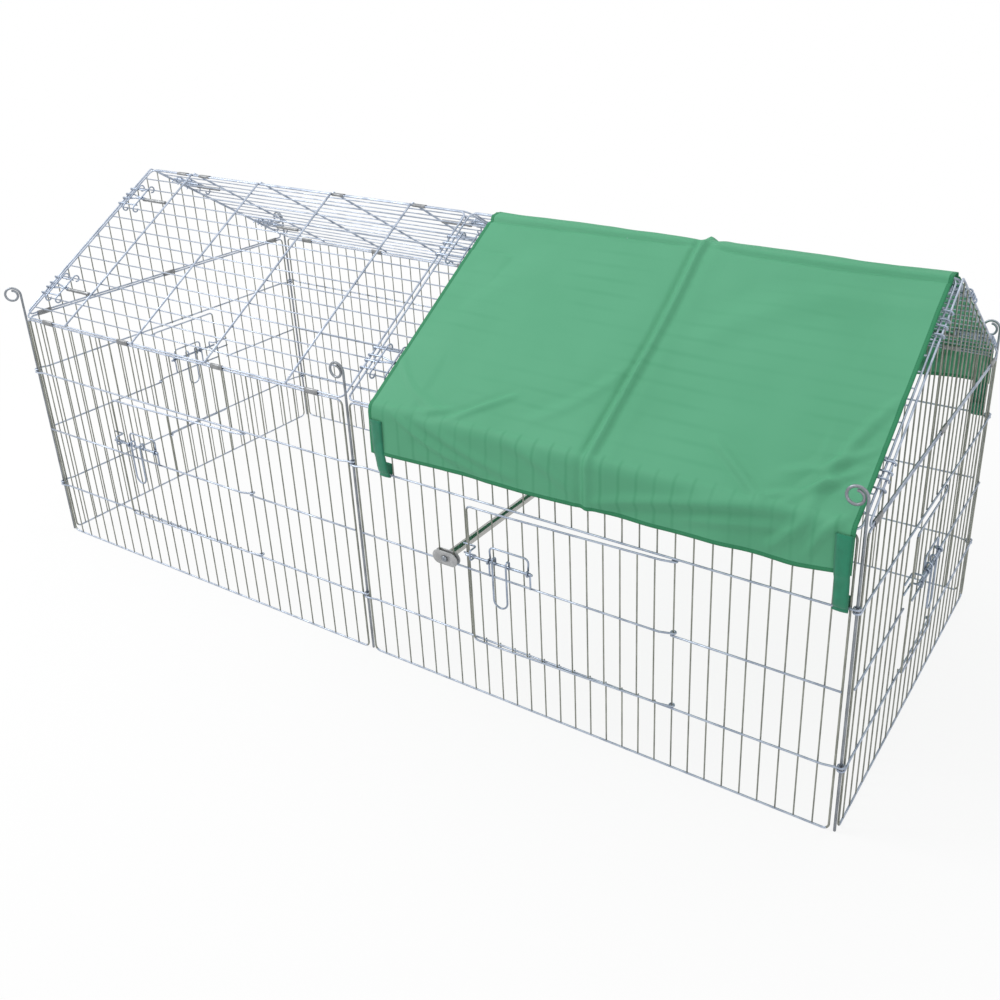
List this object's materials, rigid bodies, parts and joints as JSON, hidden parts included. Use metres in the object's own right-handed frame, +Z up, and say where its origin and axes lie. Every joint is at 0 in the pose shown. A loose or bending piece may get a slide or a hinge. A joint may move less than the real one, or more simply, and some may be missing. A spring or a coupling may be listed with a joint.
{
  "type": "outdoor rabbit run",
  "caption": "Long wire mesh rabbit run with a pitched mesh roof, corner rods, hinged bolted doors, sliding roof hooks, a cross tube and a strapped fabric shade cover.",
  "frame": {"origin": "centre of the bounding box in plan, on the ground under the lowest wires", "axes": "+X runs along the ridge towards the covered bay, the front with the doors faces -Y, +Z is up"},
  "size_m": [1.8426, 0.7844, 0.764],
  "materials": {
    "wire": "galvanised",
    "rod": "dull zinc",
    "fitting": "bright zinc",
    "cover": "plain woven, matte",
    "strap": "woven tape"
  },
  "bodies": {
    "frame": {"wall_front_left": "wire", "wall_front_right": "wire", "wall_back_left": "wire", "wall_back_right": "wire", "end_wall_left": "wire", "end_wall_right": "wire", "gable_left": "wire", "gable_right": "wire", "roof_front_left": "wire", "roof_front_right": "wire", "roof_back_left": "wire", "roof_back_right": "wire", "cross_tube": "fitting", "plate_front_inner": "fitting", "plate_front_outer": "fitting", "plate_back_inner": "fitting", "plate_back_outer": "fitting", "screw_front": "rod", "screw_back": "rod", "shade_cover": "cover", "strap_front_left": "strap", "strap_front_right": "strap", "strap_back_left": "strap", "strap_back_right": "strap"},
    "door_front_left": {"door_front_left": "wire"},
    "bolt_front_left": {"bolt_front_left": "fitting"},
    "handle_front_left": {"handle_front_left": "fitting"},
    "door_front_right": {"door_front_right": "wire"},
    "bolt_front_right": {"bolt_front_right": "fitting"},
    "handle_front_right": {"handle_front_right": "fitting"},
    "door_end_left": {"door_end_left": "wire"},
    "bolt_end_left": {"bolt_end_left": "fitting"},
    "handle_end_left": {"handle_end_left": "fitting"},
    "door_end_right": {"door_end_right": "wire"},
    "bolt_end_right": {"bolt_end_right": "fitting"},
    "handle_end_right": {"handle_end_right": "fitting"},
    "rod_front_left": {"rod_front_left": "rod"},
    "rod_front_middle": {"rod_front_middle": "rod"},
    "rod_front_right": {"rod_front_right": "rod"},
    "rod_back_left": {"rod_back_left": "rod"},
    "rod_back_middle": {"rod_back_middle": "rod"},
    "rod_back_right": {"rod_back_right": "rod"},
    "hook_front_left_lower": {"hook_front_left_lower": "fitting"},
    "hook_front_left_upper": {"hook_front_left_upper": "fitting"},
    "hook_front_middle_lower": {"hook_front_middle_lower": "fitting"},
    "hook_front_middle_upper": {"hook_front_middle_upper": "fitting"},
    "hook_front_right_lower": {"hook_front_right_lower": "fitting"},
    "hook_front_right_upper": {"hook_front_right_upper": "fitting"},
    "hook_back_left_lower": {"hook_back_left_lower": "fitting"},
    "hook_back_left_upper": {"hook_back_left_upper": "fitting"},
    "hook_back_middle_lower": {"hook_back_middle_lower": "fitting"},
    "hook_back_middle_upper": {"hook_back_middle_upper": "fitting"},
    "hook_back_right_lower": {"hook_back_right_lower": "fitting"},
    "hook_back_right_upper": {"hook_back_right_upper": "fitting"}
  },
  "joints": [
    {"name": "door_front_left_hinge", "type": "hinge", "parent": "frame", "child": "door_front_left", "pos_m": [-0.26726, -0.36975, 0.2445], "axis": [0, 0, 1], "range_deg": [0, 120]},
    {"name": "door_front_right_hinge", "type": "hinge", "parent": "frame", "child": "door_front_right", "pos_m": [0.62674, -0.36975, 0.2445], "axis": [0, 0, 1], "range_deg": [0, 120]},
    {"name": "door_end_left_hinge", "type": "hinge", "parent": "frame", "child": "door_end_left", "pos_m": [-0.89342, -0.07233, 0.2445], "axis": [0, 0, 1], "range_deg": [0, 120]},
    {"name": "door_end_right_hinge", "type": "hinge", "parent": "frame", "child": "door_end_right", "pos_m": [0.89891, 0.07517, 0.2445], "axis": [0, 0, 1], "range_deg": [0, 120]},
    {"name": "bolt_front_left_slide", "type": "slide", "parent": "door_front_left", "child": "bolt_front_left", "axis": [1, 0, 0], "range_m": [0, 0.032]},
    {"name": "bolt_front_right_slide", "type": "slide", "parent": "door_front_right", "child": "bolt_front_right", "axis": [1, 0, 0], "range_m": [0, 0.032]},
    {"name": "bolt_end_left_slide", "type": "slide", "parent": "door_end_left", "child": "bolt_end_left", "axis": [0, -1, 0], "range_m": [0, 0.032]},
    {"name": "bolt_end_right_slide", "type": "slide", "parent": "door_end_right", "child": "bolt_end_right", "axis": [0, 1, 0], "range_m": [0, 0.032]},
    {"name": "handle_front_left_swing", "type": "hinge", "parent": "bolt_front_left", "child": "handle_front_left", "pos_m": [-0.57126, -0.38573, 0.2885], "axis": [-1, 0, 0], "range_deg": [0, 120]},
    {"name": "handle_front_right_swing", "type": "hinge", "parent": "bolt_front_right", "child": "handle_front_right", "pos_m": [0.32274, -0.38573, 0.2885], "axis": [-1, 0, 0], "range_deg": [0, 120]},
    {"name": "handle_end_left_swing", "type": "hinge", "parent": "bolt_end_left", "child": "handle_end_left", "pos_m": [-0.90941, 0.03917, 0.2885], "axis": [0, 1, 0], "range_deg": [0, 120]},
    {"name": "handle_end_right_swing", "type": "hinge", "parent": "bolt_end_right", "child": "handle_end_right", "pos_m": [0.9149, -0.03633, 0.2885], "axis": [0, -1, 0], "range_deg": [0, 120]},
    {"name": "hook_front_left_lower_slide", "type": "slide", "parent": "frame", "child": "hook_front_left_lower", "axis": [-1, 0, 0], "range_m": [0, 0.008]},
    {"name": "hook_front_left_upper_slide", "type": "slide", "parent": "frame", "child": "hook_front_left_upper", "axis": [-1, 0, 0], "range_m": [0, 0.008]},
    {"name": "hook_front_middle_lower_slide", "type": "slide", "parent": "frame", "child": "hook_front_middle_lower", "axis": [-1, 0, 0], "range_m": [0, 0.008]},
    {"name": "hook_front_middle_upper_slide", "type": "slide", "parent": "frame", "child": "hook_front_middle_upper", "axis": [-1, 0, 0], "range_m": [0, 0.008]},
    {"name": "hook_front_right_lower_slide", "type": "slide", "parent": "frame", "child": "hook_front_right_lower", "axis": [1, 0, 0], "range_m": [0, 0.008]},
    {"name": "hook_front_right_upper_slide", "type": "slide", "parent": "frame", "child": "hook_front_right_upper", "axis": [1, 0, 0], "range_m": [0, 0.008]},
    {"name": "hook_back_left_lower_slide", "type": "slide", "parent": "frame", "child": "hook_back_left_lower", "axis": [-1, 0, 0], "range_m": [0, 0.008]},
    {"name": "hook_back_left_upper_slide", "type": "slide", "parent": "frame", "child": "hook_back_left_upper", "axis": [-1, 0, 0], "range_m": [0, 0.008]},
    {"name": "hook_back_middle_lower_slide", "type": "slide", "parent": "frame", "child": "hook_back_middle_lower", "axis": [1, 0, 0], "range_m": [0, 0.008]},
    {"name": "hook_back_middle_upper_slide", "type": "slide", "parent": "frame", "child": "hook_back_middle_upper", "axis": [1, 0, 0], "range_m": [0, 0.008]},
    {"name": "hook_back_right_lower_slide", "type": "slide", "parent": "frame", "child": "hook_back_right_lower", "axis": [1, 0, 0], "range_m": [0, 0.008]},
    {"name": "hook_back_right_upper_slide", "type": "slide", "parent": "frame", "child": "hook_back_right_upper", "axis": [1, 0, 0], "range_m": [0, 0.008]},
    {"name": "rod_front_left_lift", "type": "slide", "parent": "frame", "child": "rod_front_left", "axis": [0, 0, 1], "range_m": [0, 0.42]},
    {"name": "rod_front_middle_lift", "type": "slide", "parent": "frame", "child": "rod_front_middle", "axis": [0, 0, 1], "range_m": [0, 0.42]},
    {"name": "rod_front_right_lift", "type": "slide", "parent": "frame", "child": "rod_front_right", "axis": [0, 0, 1], "range_m": [0, 0.42]},
    {"name": "rod_back_left_lift", "type": "slide", "parent": "frame", "child": "rod_back_left", "axis": [0, 0, 1], "range_m": [0, 0.42]},
    {"name": "rod_back_middle_lift", "type": "slide", "parent": "frame", "child": "rod_back_middle", "axis": [0, 0, 1], "range_m": [0, 0.42]},
    {"name": "rod_back_right_lift", "type": "slide", "parent": "frame", "child": "rod_back_right", "axis": [0, 0, 1], "range_m": [0, 0.42]}
  ]
}
